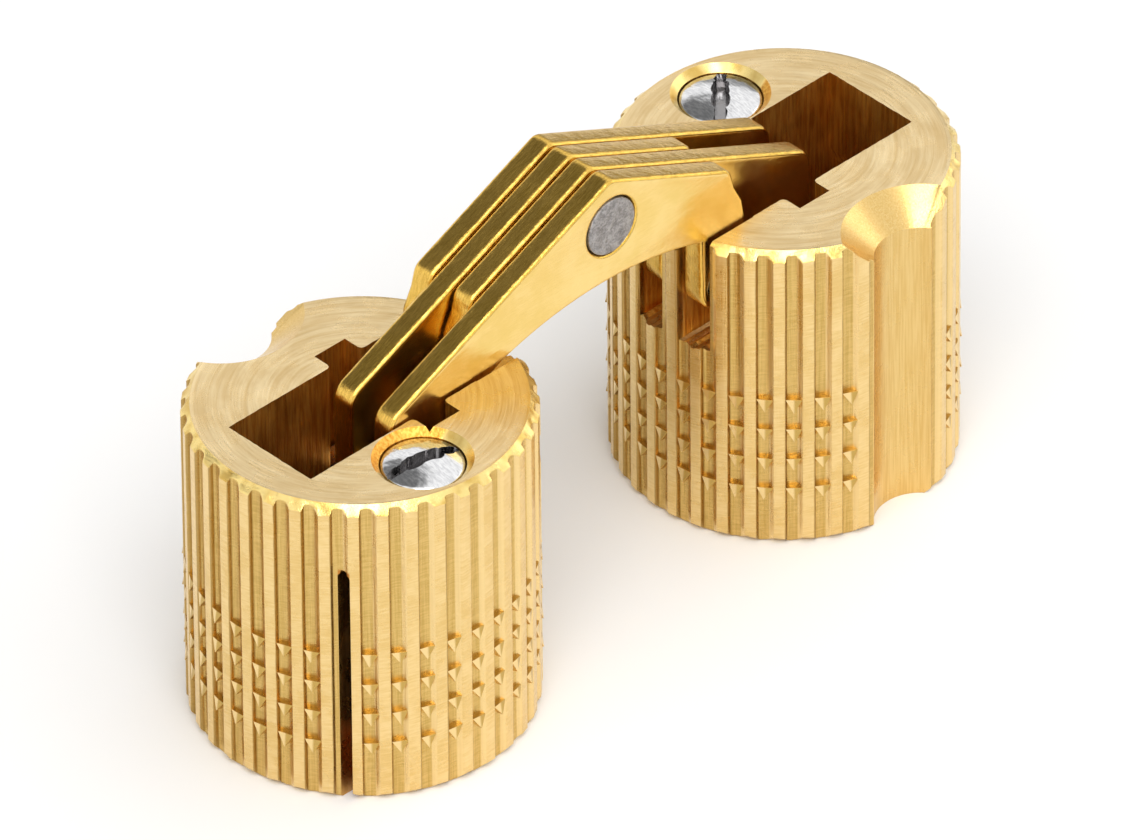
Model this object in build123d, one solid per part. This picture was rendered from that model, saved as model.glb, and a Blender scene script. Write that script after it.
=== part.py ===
from build123d import *
import math
import os

# Concealed cylinder hinge, drawn fully open. Units mm, +Z up.
# Origin: on the floor plane, midway between the two barrels.
# A barrel's own frame: origin at the centre of its top face, +X towards the other barrel, +Z out of the face.

# ---- driving dimensions -------------------------------------------------------------------------
BARREL_D = 24.0            # diameter over the ribs
BARREL_H = 24.6            # depth of one barrel
HALF_SPACING = 19.8        # half the distance between the barrel axes when open
CLOSED_GAP = 2.0           # gap between the two top faces when closed
TOP_CHAMFER = 0.8
BOTTOM_CHAMFER = 0.5

FLUTE_COUNT = 38
FLUTE_PHASE = 1.4          # degrees from the barrel's +X to the middle of a flute
FLUTE_R = 0.63
FLUTE_DEPTH = 0.5

POCKET_NEAR = 7.1          # pocket wall towards the other barrel
POCKET_FAR = -8.3          # pocket wall away from it
POCKET_W = 7.9
MOUTH_W = 8.06             # shallow mouth between the pocket and the outer wall
MOUTH_DEPTH = 1.4

PLATE_PITCH = 1.92
PLATE_T = 1.8
PIVOT_LANES = (-0.5, 1.5)  # in plate pitches: where the other barrel's mating plates are pinned
PIVOT_SLOT_W = 2.3
PIVOT_SLOT_DEPTH = 8.9

PIVOT_X = 9.35             # fixed pivot in the barrel frame
PIVOT_Z = -4.3
APEX_Z = 5.95              # centre rivet above the top faces when open
TRACK_X = 2.5              # slide track in the barrel frame
TRACK_W = 2.8
TRACK_SPAN = 11.1          # across both track grooves
TRACK_STEPS = 16
FAR_RELIEF_R = 15.0        # relief arc in the far pocket wall, clears the plate corner half way
FAR_RELIEF_DEPTH = 1.25
FAR_RELIEF_Z = -12.3

PIVOT_PIN_R = 1.25
SLIDE_PIN_R = 1.35
SIDE_PIN_L = 10.7
PIN_EDGE = 0.2
RIVET_R = 2.15
RIVET_L = 7.56
RUN_CLEAR = 0.05           # radial play of a turning fit

SCREW_X = -1.4
SCREW_Y = -7.5
SCREW_R = 2.9
SCREW_L = 6.6
SCREW_POINT = 1.0          # height of the spreading cone
SCREW_RECESS = 0.5         # screw head below the top face
SCREW_HOLE_DEPTH = 8.0
SCREW_CHAMFER = 0.45
SCREW_SLOT_W = 0.9
SCREW_SLOT_DEPTH = 1.1
LEFT_SLOT_ANGLE = -10.0
RIGHT_SLOT_ANGLE = 45.0

SLIT_Y = -7.7
SLIT_W = 0.75
SLIT_TOP = -5.4
SLIT_DEEP_END = -20.0
SLIT_INNER_X = -1.0
SLIT_SHALLOW_X = -7.2

GROOVE_Y = 13.3            # axis of the fixing-screw groove, outside the barrel wall
GROOVE_R = 3.25
SINK_R = 5.5
SINK_DEPTH = 2.0

END_R_PIVOT = 2.1          # round end of a plate's short arm
END_R_SLIDE = 2.4          # round end of its long arm
EDGE_OFFSET = 3.5          # upper plate edges from the rivet axis
EDGE_SLOPE = math.radians(24.5)
LONG_CORNER_X = -20.6
SHORT_CORNER_X = 11.2


def point_at(start, radius, angle):
    """Point at a distance and an angle from a start point."""
    return (start[0] + radius * math.cos(angle), start[1] + radius * math.sin(angle))


def linkage():
    """Lengths, start angles and total turns of the two crossed links, in the barrel's X-Z plane."""
    pivot = (PIVOT_X, PIVOT_Z)
    rise = APEX_Z - PIVOT_Z
    short_arm = math.hypot(HALF_SPACING - PIVOT_X, rise)
    closed_rise = CLOSED_GAP / 2 - PIVOT_Z
    closed_x = PIVOT_X - math.sqrt(short_arm**2 - closed_rise**2)
    start = math.atan2(rise, HALF_SPACING - PIVOT_X)
    pinned_turn = math.atan2(closed_rise, closed_x - PIVOT_X) - start
    sliding_turn = math.pi - pinned_turn
    ratio = (TRACK_X - closed_x) / (TRACK_X - HALF_SPACING)
    slide_start = math.pi + math.atan((math.cos(sliding_turn) - ratio) / math.sin(sliding_turn))
    long_arm = (TRACK_X - HALF_SPACING) / math.cos(slide_start)
    return pivot, short_arm, start, pinned_turn, long_arm, slide_start, sliding_turn


def slide_pin_place(share):
    """Where the slide pin is, in the barrel frame, at a share of the closing movement."""
    pivot, short_arm, start, pinned_turn, long_arm, slide_start, sliding_turn = linkage()
    rivet = point_at(pivot, short_arm, start + pinned_turn * share)
    return point_at(rivet, long_arm, slide_start + sliding_turn * share)


OPEN_SLIDE = slide_pin_place(0.0)
# The same two pivots seen from the rivet, for the link whose short arm points to +X.
PIVOT_DX = HALF_SPACING - PIVOT_X
PIVOT_DZ = PIVOT_Z - APEX_Z
SLIDE_DX = OPEN_SLIDE[0] - HALF_SPACING
SLIDE_DZ = OPEN_SLIDE[1] - APEX_Z


def bar_along_y(radius, length, x, z):
    """A round bar along Y, centred on Y = 0."""
    return Pos(x, 0, z) * Rot(90, 0, 0) * Cylinder(radius, length)


def block(x0, x1, y0, y1, z0, z1):
    """A box from its six faces."""
    return Pos((x0 + x1) / 2, (y0 + y1) / 2, (z0 + z1) / 2) * Box(x1 - x0, y1 - y0, z1 - z0)


def barrel_blank():
    """Round body with a chamfer at both ends and straight flutes round the outside."""
    radius = BARREL_D / 2
    body = Pos(0, 0, -BARREL_H / 2) * Cylinder(radius, BARREL_H)
    body = chamfer(body.edges().group_by(Axis.Z)[-1], TOP_CHAMFER)
    body = chamfer(body.edges().group_by(Axis.Z)[0], BOTTOM_CHAMFER)
    flute = Cylinder(FLUTE_R, BARREL_H + 2)
    ring = PolarLocations(radius + FLUTE_R - FLUTE_DEPTH, FLUTE_COUNT, start_angle=FLUTE_PHASE)
    flutes = [Pos(0, 0, -BARREL_H / 2) * place * flute for place in ring]
    return body - flutes


def pocket_cut():
    """Through pocket, the shallow mouth and the two slots for the plates pinned in this barrel."""
    beyond = BARREL_D / 2 + 1
    half = POCKET_W / 2
    cut = block(POCKET_FAR, POCKET_NEAR, -half, half, -BARREL_H - 1, 1)
    cut += block(POCKET_NEAR - 0.1, beyond, -MOUTH_W / 2, MOUTH_W / 2, -MOUTH_DEPTH, 1)
    for lane in PIVOT_LANES:
        middle = lane * PLATE_PITCH
        cut += block(POCKET_NEAR - 0.1, beyond, middle - PIVOT_SLOT_W / 2, middle + PIVOT_SLOT_W / 2,
                     -PIVOT_SLOT_DEPTH, 1)
    return cut


def track_cut():
    """Slide track in both side walls: straight from the top, then along the pin's own path."""
    half_span = TRACK_SPAN / 2
    cut = block(TRACK_X - TRACK_W / 2, TRACK_X + TRACK_W / 2, -half_span, half_span, OPEN_SLIDE[1], 1)
    path = [slide_pin_place(step / TRACK_STEPS) for step in range(TRACK_STEPS + 1)]
    for place in path:
        cut += bar_along_y(TRACK_W / 2, TRACK_SPAN, place[0], place[1])
    for here, there in zip(path, path[1:]):
        length = math.dist(here, there)
        lean = math.degrees(math.atan2(there[0] - here[0], there[1] - here[1]))
        middle = Pos((here[0] + there[0]) / 2, 0, (here[1] + there[1]) / 2)
        cut += middle * Rot(0, lean, 0) * Box(TRACK_W, TRACK_SPAN, length)
    return cut


def far_wall_relief():
    """Shallow hollow in the far pocket wall for the long arm's corner."""
    centre_x = POCKET_FAR - FAR_RELIEF_DEPTH + FAR_RELIEF_R
    arc = bar_along_y(FAR_RELIEF_R, POCKET_W, centre_x, FAR_RELIEF_Z)
    half = POCKET_W / 2
    return arc & block(-BARREL_D / 2, POCKET_FAR + 1, -half, half, -BARREL_H, 0)


def expansion_cut():
    """Screw hole with its chamfer, and the slit that lets the wall spread."""
    radius = SCREW_R + RUN_CLEAR
    cut = Pos(SCREW_X, SCREW_Y, -SCREW_HOLE_DEPTH / 2) * Cylinder(radius, SCREW_HOLE_DEPTH)
    mouth = Cone(radius, radius + SCREW_CHAMFER, SCREW_CHAMFER)
    cut += Pos(SCREW_X, SCREW_Y, -SCREW_CHAMFER / 2) * mouth
    low = SLIT_Y - SLIT_W / 2
    high = SLIT_Y + SLIT_W / 2
    cut += block(-BARREL_D / 2, SLIT_INNER_X, low, high, SLIT_DEEP_END, SLIT_TOP)
    cut += block(-BARREL_D / 2, SLIT_SHALLOW_X, low, high, -BARREL_H - 1, SLIT_TOP)
    return cut


def fixing_cut():
    """Half-round groove for the fixing screw, with a countersink at the top."""
    cut = Pos(0, GROOVE_Y, -BARREL_H / 2) * Cylinder(GROOVE_R, BARREL_H + 2)
    cut += Pos(0, GROOVE_Y, -SINK_DEPTH / 2) * Cone(GROOVE_R, SINK_R, SINK_DEPTH)
    return cut


def barrel():
    """One barrel in its own frame."""
    body = barrel_blank() - pocket_cut() - track_cut() - far_wall_relief() - expansion_cut() - fixing_cut()
    pin_hole = Pos(PIVOT_X, -BARREL_D / 4, PIVOT_Z) * Rot(90, 0, 0) * Cylinder(PIVOT_PIN_R, BARREL_D / 2)
    body -= pin_hole + bar_along_y(PIVOT_PIN_R, SIDE_PIN_L, PIVOT_X, PIVOT_Z)
    return body


def link_outline():
    """Face of the link whose short arm points to +X, drawn about the rivet axis."""
    apex = EDGE_OFFSET / math.cos(EDGE_SLOPE)
    fall = math.tan(EDGE_SLOPE)
    short_top = (SHORT_CORNER_X, apex - fall * SHORT_CORNER_X)
    long_top = (LONG_CORNER_X, apex + fall * LONG_CORNER_X)
    pivot_out = (PIVOT_DX + END_R_PIVOT, PIVOT_DZ)
    pivot_end = (PIVOT_DX, PIVOT_DZ - END_R_PIVOT)
    pivot_in = (PIVOT_DX - END_R_PIVOT, PIVOT_DZ)
    slide_in = (SLIDE_DX + END_R_SLIDE, SLIDE_DZ)
    slide_end = (SLIDE_DX, SLIDE_DZ - END_R_SLIDE)
    slide_out = (SLIDE_DX - END_R_SLIDE, SLIDE_DZ)
    arch_start = (pivot_in[0], -5.95)
    arch_end = (-10.0, -5.85)
    edges = [
        Polyline((0, apex), short_top, (11.6, -2.8), (12.3, -4.2), (pivot_out[0], -5.8), pivot_out),
        ThreePointArc(pivot_out, pivot_end, pivot_in),
        Line(pivot_in, arch_start),
        ThreePointArc(arch_start, (0, -4.43), arch_end),
        Polyline(arch_end, (-12.7, -7.2), (-13.2, -7.3), (-14.6, -9.5), slide_in),
        ThreePointArc(slide_in, slide_end, slide_out),
        Polyline(slide_out, (LONG_CORNER_X, -12.5), long_top, (0, apex)),
    ]
    face = make_face(edges)
    for corner, radius in ((long_top, 1.6), (short_top, 0.7), ((0, apex), 1.0), ((-14.6, -9.5), 1.5)):
        vertex = face.vertices().sort_by_distance(Vector(corner[0], corner[1], 0))[0]
        face = fillet(vertex, radius)
    return face


def link_plate(lane, short_side, hole_sizes):
    """One plate. short_side is +1 or -1 for the side of its short arm; holes: rivet, pivot, slide."""
    plate = extrude(link_outline(), PLATE_T)
    centres = ((0, 0), (PIVOT_DX, PIVOT_DZ), (SLIDE_DX, SLIDE_DZ))
    for centre, radius in zip(centres, hole_sizes):
        plate -= Pos(centre[0], centre[1], PLATE_T / 2) * Cylinder(radius, PLATE_T + 1)
    if short_side < 0:
        plate = mirror(plate, Plane.YZ)
    middle = Pos(0, lane * PLATE_PITCH + PLATE_T / 2, BARREL_H + APEX_Z)
    return middle * Rot(90, 0, 0) * plate


def side_pin(radius, x, z):
    """Plain pin along Y with broken ends, in a barrel's frame."""
    pin = Cylinder(radius, SIDE_PIN_L)
    pin = chamfer(pin.edges().filter_by(GeomType.CIRCLE), PIN_EDGE)
    return Pos(x, 0, z) * Rot(90, 0, 0) * pin


def rivet():
    """Centre rivet, flush with the outer plates."""
    body = Cylinder(RIVET_R, RIVET_L)
    body = chamfer(body.edges().filter_by(GeomType.CIRCLE), PIN_EDGE)
    return Pos(0, 0, BARREL_H + APEX_Z) * Rot(90, 0, 0) * body


def expansion_screw(slot_angle):
    """Slotted screw with a spreading cone at its lower end; its thread is left plain."""
    shank = SCREW_L - SCREW_POINT
    body = Pos(0, 0, -shank / 2) * Cylinder(SCREW_R, shank)
    body = chamfer(body.edges().group_by(Axis.Z)[-1], PIN_EDGE)
    body += Pos(0, 0, -shank - SCREW_POINT / 2) * Cone(SCREW_R - SCREW_POINT, SCREW_R, SCREW_POINT)
    slot = Rot(0, 0, slot_angle) * Box(BARREL_D, SCREW_SLOT_W, SCREW_SLOT_DEPTH * 2)
    return Pos(SCREW_X, SCREW_Y, -SCREW_RECESS) * (body - slot)


def left_place():
    """Barrel frame to part frame on the left."""
    return Pos(-HALF_SPACING, 0, BARREL_H)


def right_place():
    """The same on the right, turned to face the left barrel."""
    return Pos(HALF_SPACING, 0, BARREL_H) * Rot(0, 0, 180)


def nodes():
    """Every separate piece by its node name."""
    tight = (RIVET_R, PIVOT_PIN_R + RUN_CLEAR, SLIDE_PIN_R)
    loose = (RIVET_R + RUN_CLEAR, PIVOT_PIN_R + RUN_CLEAR, SLIDE_PIN_R)
    body = barrel()
    pivot_pin = side_pin(PIVOT_PIN_R, PIVOT_X, PIVOT_Z)
    slide_pin = side_pin(SLIDE_PIN_R, OPEN_SLIDE[0], OPEN_SLIDE[1])
    return {
        "left_barrel": left_place() * body,
        "right_barrel": right_place() * body,
        "link_a_outer": link_plate(-1.5, 1, tight),
        "link_b_inner": link_plate(-0.5, -1, loose),
        "link_a_inner": link_plate(0.5, 1, tight),
        "link_b_outer": link_plate(1.5, -1, loose),
        "centre_rivet": rivet(),
        "left_pivot_pin": left_place() * pivot_pin,
        "right_pivot_pin": right_place() * pivot_pin,
        "left_slide_pin": left_place() * slide_pin,
        "right_slide_pin": right_place() * slide_pin,
        "left_expansion_screw": left_place() * expansion_screw(LEFT_SLOT_ANGLE),
        "right_expansion_screw": right_place() * expansion_screw(RIGHT_SLOT_ANGLE + 180),
    }


os.makedirs("parts", exist_ok=True)
for name, shape in nodes().items():
    export_step(shape, f"parts/{name}.step")
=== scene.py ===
import math
import random

import bmesh
import bpy
from mathutils import Matrix, Vector


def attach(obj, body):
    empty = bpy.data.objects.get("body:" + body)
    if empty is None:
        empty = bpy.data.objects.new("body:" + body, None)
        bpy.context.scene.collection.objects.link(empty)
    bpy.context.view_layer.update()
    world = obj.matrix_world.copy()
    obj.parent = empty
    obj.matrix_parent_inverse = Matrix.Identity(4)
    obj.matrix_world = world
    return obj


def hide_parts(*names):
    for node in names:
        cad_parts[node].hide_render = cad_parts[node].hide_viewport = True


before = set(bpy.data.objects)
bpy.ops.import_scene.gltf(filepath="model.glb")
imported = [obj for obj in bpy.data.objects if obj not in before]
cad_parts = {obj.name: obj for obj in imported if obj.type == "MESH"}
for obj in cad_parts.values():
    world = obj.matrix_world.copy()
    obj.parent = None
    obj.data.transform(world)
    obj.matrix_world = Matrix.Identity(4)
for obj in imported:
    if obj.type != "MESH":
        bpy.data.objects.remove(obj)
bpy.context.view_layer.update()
MM = 0.001

# ---- sizes in millimetres: the CAD part's, except where a comment says otherwise ------------------
BARREL_R = 12.0
BARREL_H = 24.6
HALF_SPACING = 19.8
TOP_CHAMFER = 0.62         # the worn edge that is left of the CAD part's 0.8
BOTTOM_CHAMFER = 0.5
FLUTE_COUNT = 38
FLUTE_PHASE = 1.4          # degrees, from +X of the barrel to the middle of a flute
POCKET_NEAR = 7.1
POCKET_FAR = -8.3
POCKET_W = 7.9
MOUTH_W = 8.06
MOUTH_DEPTH = 1.4
PLATE_PITCH = 1.92
PLATE_T = 1.8
PLATE_RIM = 0.34           # radius of a plate's rims, which are sharp in the CAD part
PIVOT_SLOT_W = 2.3
PIVOT_SLOT_DEPTH = 8.9
PIVOT_LANES = (-0.5, 1.5)
PIVOT_X = 9.35
PIVOT_Z = -4.3
APEX_Z = 5.95
TRACK_X = 2.5
TRACK_W = 2.8
TRACK_SPAN = 11.1
CLOSED_GAP = 2.0
RELIEF_R = 15.0            # hollow in the far pocket wall
RELIEF_DEPTH = 1.25
RELIEF_Z = -12.3
SCREW_X = -1.4
SCREW_Y = -7.5
SCREW_R = 2.9
SCREW_SINK = 0.5
SCREW_HOLE_R = 2.95
SCREW_HOLE_DEPTH = 8.0
SCREW_CHAMFER = 0.5        # 0.45 in the CAD part
SLIT_Y = -7.7
SLIT_W = 0.88              # 0.75 in the CAD part
SLIT_TOP = -5.4
SLIT_FLOOR = -20.0
SLIT_DEEP_X = -1.0
SLIT_LOW_X = -7.2
GROOVE_Y = 13.3
GROOVE_R = 3.25
SINK_R = 5.5
SINK_DEPTH = 2.0
PIVOT_PIN_R = 1.25
SLIDE_PIN_R = 1.35
SIDE_PIN_L = 10.7
RIVET_R = 2.15
RIVET_L = 7.56
BARB_ROWS = (-12.3, -14.8, -17.3, -19.8)

# One worn flute, shallower than the CAD part's: arc length from its middle, depth below the crest
FLUTE = ((-0.58, 0.0), (-0.55, 0.05), (-0.52, 0.17), (-0.49, 0.29), (-0.4, 0.35), (-0.2, 0.38), (0.0, 0.38),
         (0.16, 0.36), (0.3, 0.3), (0.42, 0.2), (0.53, 0.07), (0.61, 0.0))
# The land between two flutes: share of the way across, depth below the crest
LAND = ((0.12, -0.01), (0.5, 0.0), (0.88, -0.01))

# What the tools and wear left on the barrels (angles in radians)
WAVE_COUNT = 9
WAVE_HEIGHT = 0.009
NICK_COUNT = 40
NICK_WIDTHS = (0.02, 0.06)
NICK_DEPTHS = (0.03, 0.11)
ROUGH_FADE = 0.3           # depth over which the chamfer's roughness sets in
FLUTE_SWAY = 0.004
FLUTE_DEPTH_SHARES = (0.85, 1.05)
NOTCH_SOFT = 0.35          # softened inner corners of the slide notches
NOTCH_CUT = 0.1
SLOT_FLOOR_RAG = 0.3
SLOT_FLOOR_STEPS = 9

# Upper end of the expansion slit: distance across, height above the nominal end
SLIT_HEAD = ((0.0, -0.5), (0.06, -0.28), (0.2, -0.22), (0.26, 0.0), (0.68, 0.05), (0.76, -0.24),
             (SLIT_W, -0.4))

# Teeth
BARB_HALF_W = 0.57
BARB_DROP = 0.95
BARB_LIFT = 0.11           # how far a tip stands past the crests
BARB_ROOT = -0.9
BARB_FROM_GROOVE = 0.7
BARB_FROM_SLIT = 0.35

# Cutters pass the barrel by this much, and each other by a little
OVER = 1.0
OUTSIDE = BARREL_R + OVER
UNDERSIDE = -BARREL_H - OVER
LAP = 0.1

# Slide track: steps of the pin's path, and the step from which the bend is gentle
TRACK_STEPS = 24
TRACK_BEND = 8

# Link outline about the rivet axis, short arm towards +X, as (x, z) points or single coordinates
LINK_BACK = 3.5            # from the rivet axis to the straight backs
LINK_FALL = 24.5           # degrees, slope of the backs
SHORT_END_X = 11.2         # where the short arm's back turns down
SHORT_NOSE = ((11.6, -2.8), (12.3, -4.2))
SHORT_NOSE_Z = -5.8        # lower end of the nose, over the round pivot end
PIVOT_END_R = 2.1
ARCH_SHORT_Z = -5.95       # the arch under the rivet: short end, crown and long end
ARCH_CROWN_Z = -4.43
ARCH_LONG = (-10.0, -5.85)
LONG_BELLY = ((-12.7, -7.2), (-13.2, -7.3), (-14.6, -9.5))
SLIDE_END_R = 2.4
LONG_END_X = -20.6
LONG_END_Z = -12.5
APEX_CORNER_R = 1.0
SHORT_CORNER_R = 1.1       # 0.7 in the CAD part
BELLY_CORNER_R = 1.5
LONG_CORNER_R = 1.6

# Screws, from the rim of the head: radius and height, and for the slot length and half width
SCREW_DOME = 0.55
SCREW_DOME_R = 2.62
SCREW_DOME_STEPS = 8
SCREW_SIDE = ((2.78, 0.0), (2.86, -0.12), (SCREW_R, -0.3), (SCREW_R, -5.6), (1.9, -6.6))
SCREW_SLOT = ((-2.72, 0.3), (-1.5, 0.36), (-1.4, 0.52), (1.4, 0.52), (1.5, 0.36), (2.72, 0.3))
SCREW_SLOT_FLOOR = -1.1

AXIS_R = 0.02              # small flat at the axis of turned pieces
PIN_EDGE = 0.2
RIVET_EDGE = 0.1
RIVET_PLAY = 0.06
PIVOT_PLAY = 0.05
HOLES = (RIVET_R + RIVET_PLAY, PIVOT_PIN_R + PIVOT_PLAY, SLIDE_PIN_R)

# View: degrees, metres, and the aim's offset in millimetres from midway between the top faces
VIEW_AZIMUTH = -43.83
VIEW_ELEVATION = 37.62
VIEW_ROLL = -0.5
VIEW_DISTANCE = 1.511
VIEW_LENS = 711
AIM_LEFT = 0.3
AIM_DOWN = 9.85


# ---- small helpers --------------------------------------------------------------------------------
def add_object(name, mesh):
    """Link a new object for a mesh."""
    piece = bpy.data.objects.new(name, mesh)
    bpy.context.scene.collection.objects.link(piece)
    return piece


def tidy_normals(piece):
    """Turn all faces of a closed solid outwards."""
    work = bmesh.new()
    work.from_mesh(piece.data)
    bmesh.ops.recalc_face_normals(work, faces=work.faces)
    work.to_mesh(piece.data)
    work.free()


def solid(name, verts, faces):
    """Closed mesh object from millimetre points."""
    mesh = bpy.data.meshes.new(name)
    mesh.from_pydata([tuple(c * MM for c in v) for v in verts], [], faces)
    mesh.validate()
    mesh.update()
    piece = add_object(name, mesh)
    tidy_normals(piece)
    return piece


def sharpen(piece, degrees=32.0):
    """Smooth shading with sharp edges where two faces meet at more than an angle."""
    work = bmesh.new()
    work.from_mesh(piece.data)
    bmesh.ops.recalc_face_normals(work, faces=work.faces)
    for face in work.faces:
        face.smooth = True
    for edge in work.edges:
        if len(edge.link_faces) == 2:
            edge.smooth = edge.calc_face_angle(0.0) < math.radians(degrees)
    work.to_mesh(piece.data)
    work.free()


def ring_faces(steps, rows):
    """Faces of a closed solid whose points are rows of rings."""
    last = rows * steps
    faces = [tuple(range(steps)), tuple(range(last - 1, last - steps - 1, -1))]
    for row in range(rows - 1):
        here, below = row * steps, (row + 1) * steps
        for i in range(steps):
            j = (i + 1) % steps
            faces.append((here + j, here + i, below + i, below + j))
    return faces


def prism(name, outline, axis, low, high):
    """Solid between two planes square to an axis, from a closed outline.

    Axis "z" takes (x, y) points, "y" takes (x, z) points and "x" takes (y, z) points."""
    order = {"z": (0, 1, 2), "y": (0, 2, 1), "x": (2, 0, 1)}[axis]
    verts = [tuple((u, v, level)[k] for k in order) for level in (low, high) for u, v in outline]
    return solid(name, verts, ring_faces(len(outline), 2))


def rectangle(x0, x1, y0, y1):
    """Corner points of a rectangle."""
    return [(x0, y0), (x1, y0), (x1, y1), (x0, y1)]


def circle(cx, cy, radius, steps=64):
    """Points round a circle."""
    return [(cx + radius * math.cos(math.tau * i / steps), cy + radius * math.sin(math.tau * i / steps))
            for i in range(steps)]


def ragged(outline, rng, step, amount):
    """Outline with its sides divided and pushed a little, outwards only, as a cutter leaves them."""
    out = []
    for i, start in enumerate(outline):
        end = outline[(i + 1) % len(outline)]
        across = Vector((end[1] - start[1], start[0] - end[0]))
        length = across.length
        across.normalize()
        parts = max(1, round(length / step))
        for k in range(parts):
            share = k / parts
            push = rng.uniform(0, amount) if k else 0.0
            out.append((start[0] + (end[0] - start[0]) * share + across.x * push,
                        start[1] + (end[1] - start[1]) * share + across.y * push))
    return out


def lathe(name, profile, steps=96):
    """Solid of revolution about Z from (radius, height) points, top to bottom."""
    verts = []
    for radius, height in profile:
        verts += [(x, y, height) for x, y in circle(0, 0, radius, steps)]
    return solid(name, verts, ring_faces(steps, len(profile)))


def cut(target, cutter):
    """Boolean difference, applied at once; the cutter is removed."""
    step = target.modifiers.new("cut", "BOOLEAN")
    step.operation = "DIFFERENCE"
    step.solver = "EXACT"
    step.object = cutter
    graph = bpy.context.evaluated_depsgraph_get()
    result = bpy.data.meshes.new_from_object(target.evaluated_get(graph))
    target.modifiers.clear()
    old = target.data
    target.data = result
    bpy.data.meshes.remove(old)
    bpy.data.objects.remove(cutter, do_unlink=True)


def place(piece, matrix):
    """Bake a millimetre placement into the mesh."""
    scaled = matrix.copy()
    scaled.translation = scaled.translation * MM
    piece.data.transform(scaled)
    piece.data.update()


def round_edges(piece, width, segments, degrees):
    """Bevel the edges that are sharper than an angle."""
    bevel = piece.modifiers.new("edge", "BEVEL")
    bevel.width = width * MM
    bevel.segments = segments
    bevel.limit_method = "ANGLE"
    bevel.angle_limit = math.radians(degrees)


def dress(piece, material, body, node):
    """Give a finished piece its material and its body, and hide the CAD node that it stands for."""
    piece.data.materials.clear()
    piece.data.materials.append(MATERIALS[material])
    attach(piece, body)
    if node:
        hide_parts(node)


LEFT = Matrix.Translation((-HALF_SPACING, 0, BARREL_H))
RIGHT = Matrix.Translation((HALF_SPACING, 0, BARREL_H)) @ Matrix.Rotation(math.pi, 4, "Z")


# ---- linkage ----------------------------------------------------------------------------------------
def slide_pin_path(steps):
    """Slide pin places in the barrel frame over the closing movement, the open place first."""
    rise = APEX_Z - PIVOT_Z
    reach = HALF_SPACING - PIVOT_X
    short_arm = math.hypot(reach, rise)
    closed_rise = CLOSED_GAP / 2 - PIVOT_Z
    closed_x = PIVOT_X - math.sqrt(short_arm**2 - closed_rise**2)
    start = math.atan2(rise, reach)
    pinned = math.atan2(closed_rise, closed_x - PIVOT_X) - start
    sliding = math.pi - pinned
    ratio = (TRACK_X - closed_x) / (TRACK_X - HALF_SPACING)
    first = math.pi + math.atan((math.cos(sliding) - ratio) / math.sin(sliding))
    long_arm = (TRACK_X - HALF_SPACING) / math.cos(first)
    places = []
    for i in range(steps + 1):
        share = i / steps
        turn = start + pinned * share
        lean = first + sliding * share
        places.append((PIVOT_X + short_arm * math.cos(turn) + long_arm * math.cos(lean),
                       PIVOT_Z + short_arm * math.sin(turn) + long_arm * math.sin(lean)))
    return places


SLIDE_PATH = slide_pin_path(TRACK_STEPS)
OPEN_SLIDE = SLIDE_PATH[0]
PIVOT_DX = HALF_SPACING - PIVOT_X
PIVOT_DZ = PIVOT_Z - APEX_Z
SLIDE_DX = OPEN_SLIDE[0] - HALF_SPACING
SLIDE_DZ = OPEN_SLIDE[1] - APEX_Z


# ---- barrel -----------------------------------------------------------------------------------------
def wall_rows():
    """Heights of the wall's rows below the top face, dense at both chamfers."""
    top = [-0.07 * i for i in range(14)]
    middle = [-2.0, -6.0, -12.0, -18.0]
    bottom = [-BARREL_H + gap for gap in (0.9, 0.6, 0.5, 0.4, 0.3, 0.2, 0.1, 0.0)]
    return top + middle + bottom


def flute_section():
    """One flute period as (arc length from the flute's middle, depth) points."""
    start, end = FLUTE[0][0], FLUTE[-1][0]
    land = math.tau * BARREL_R / FLUTE_COUNT - end + start
    return list(FLUTE) + [(end + land * share, depth) for share, depth in LAND]


def barrel_ring(rng):
    """The wall's section as (angle, depth of the flute, roughness of the chamfer) points."""
    waves = [(rng.randint(5, 60), rng.uniform(0, math.tau)) for _ in range(WAVE_COUNT)]
    nicks = [(rng.uniform(0, math.tau), rng.uniform(*NICK_WIDTHS), rng.uniform(*NICK_DEPTHS))
             for _ in range(NICK_COUNT)]
    ring = []
    for k in range(FLUTE_COUNT):
        middle = math.radians(FLUTE_PHASE) + math.tau * k / FLUTE_COUNT + rng.uniform(-FLUTE_SWAY, FLUTE_SWAY)
        share = rng.uniform(*FLUTE_DEPTH_SHARES)
        for arc, depth in flute_section():
            angle = (middle + arc / BARREL_R) % math.tau
            wave = sum(math.sin(angle * count + phase) for count, phase in waves) * WAVE_HEIGHT
            nick = sum(size * max(0.0, 1 - abs(angle - at) / wide) for at, wide, size in nicks)
            ring.append((angle, depth * share, wave - nick))
    return ring


def barrel_blank(name):
    """Fluted round body with ragged chamfer edges, in its own frame."""
    ring = barrel_ring(random.Random(name))
    verts = []
    for height in wall_rows():
        limit = min(BARREL_R - TOP_CHAMFER - height, BARREL_R - BOTTOM_CHAMFER + BARREL_H + height)
        fade = min(1.0, -height / ROUGH_FADE)
        for angle, depth, rough in ring:
            radius = min(BARREL_R - depth, limit + rough * fade)
            verts.append((radius * math.cos(angle), radius * math.sin(angle), height))
    return solid(name, verts, ring_faces(len(ring), len(wall_rows())))


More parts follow.
